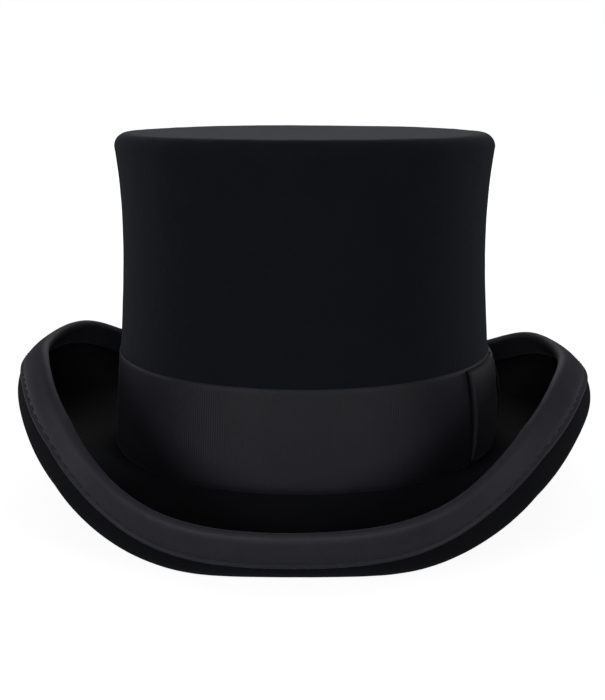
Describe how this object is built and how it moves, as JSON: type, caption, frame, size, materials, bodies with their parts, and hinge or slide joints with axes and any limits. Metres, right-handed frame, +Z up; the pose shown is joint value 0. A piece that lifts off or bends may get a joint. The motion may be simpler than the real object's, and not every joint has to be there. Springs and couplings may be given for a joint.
{
  "type": "top hat",
  "caption": "Black felt top hat with a waisted crown, a rolled ribbon-bound brim, a ribbon band with a flat bow, a leather sweatband and a satin lining",
  "frame": {"origin": "middle of the head opening, on the line where crown and brim meet", "axes": "+Z up through the crown's tip, -Y to the front of the hat, +X to the side with the bow (the wearer's left)"},
  "size_m": [0.2627, 0.3386, 0.1622],
  "materials": {
    "crown_felt": "brushed wool felt, matte",
    "brim_felt": "brushed wool felt, matte",
    "ribbon": "ribbed grosgrain with a faint sheen",
    "thread": "twisted thread",
    "leather": "smooth, satin",
    "tape": "woven tape",
    "reed": "smooth",
    "satin": "satin weave with a clear sheen",
    "wire": "drawn spring wire"
  },
  "bodies": {
    "root": {"crown_felt": "crown_felt", "brim_felt": "brim_felt", "brim_wire": "wire", "wire_joiner": "wire", "brim_binding": "ribbon", "binding_stitches": "thread", "crown_seam_stitches": "thread", "hat_band": "ribbon", "band_tacks": "thread", "bow_loop": "ribbon", "bow_knot": "ribbon", "bow_tacks": "thread", "sweatband": "leather", "sweatband_reed": "reed", "reed_tape": "tape", "sweatband_stitches": "thread", "sweatband_bow": "ribbon", "lining_side": "satin", "lining_tip": "satin", "lining_piping": "satin", "lining_tacks": "thread"}
  },
  "joints": []
}
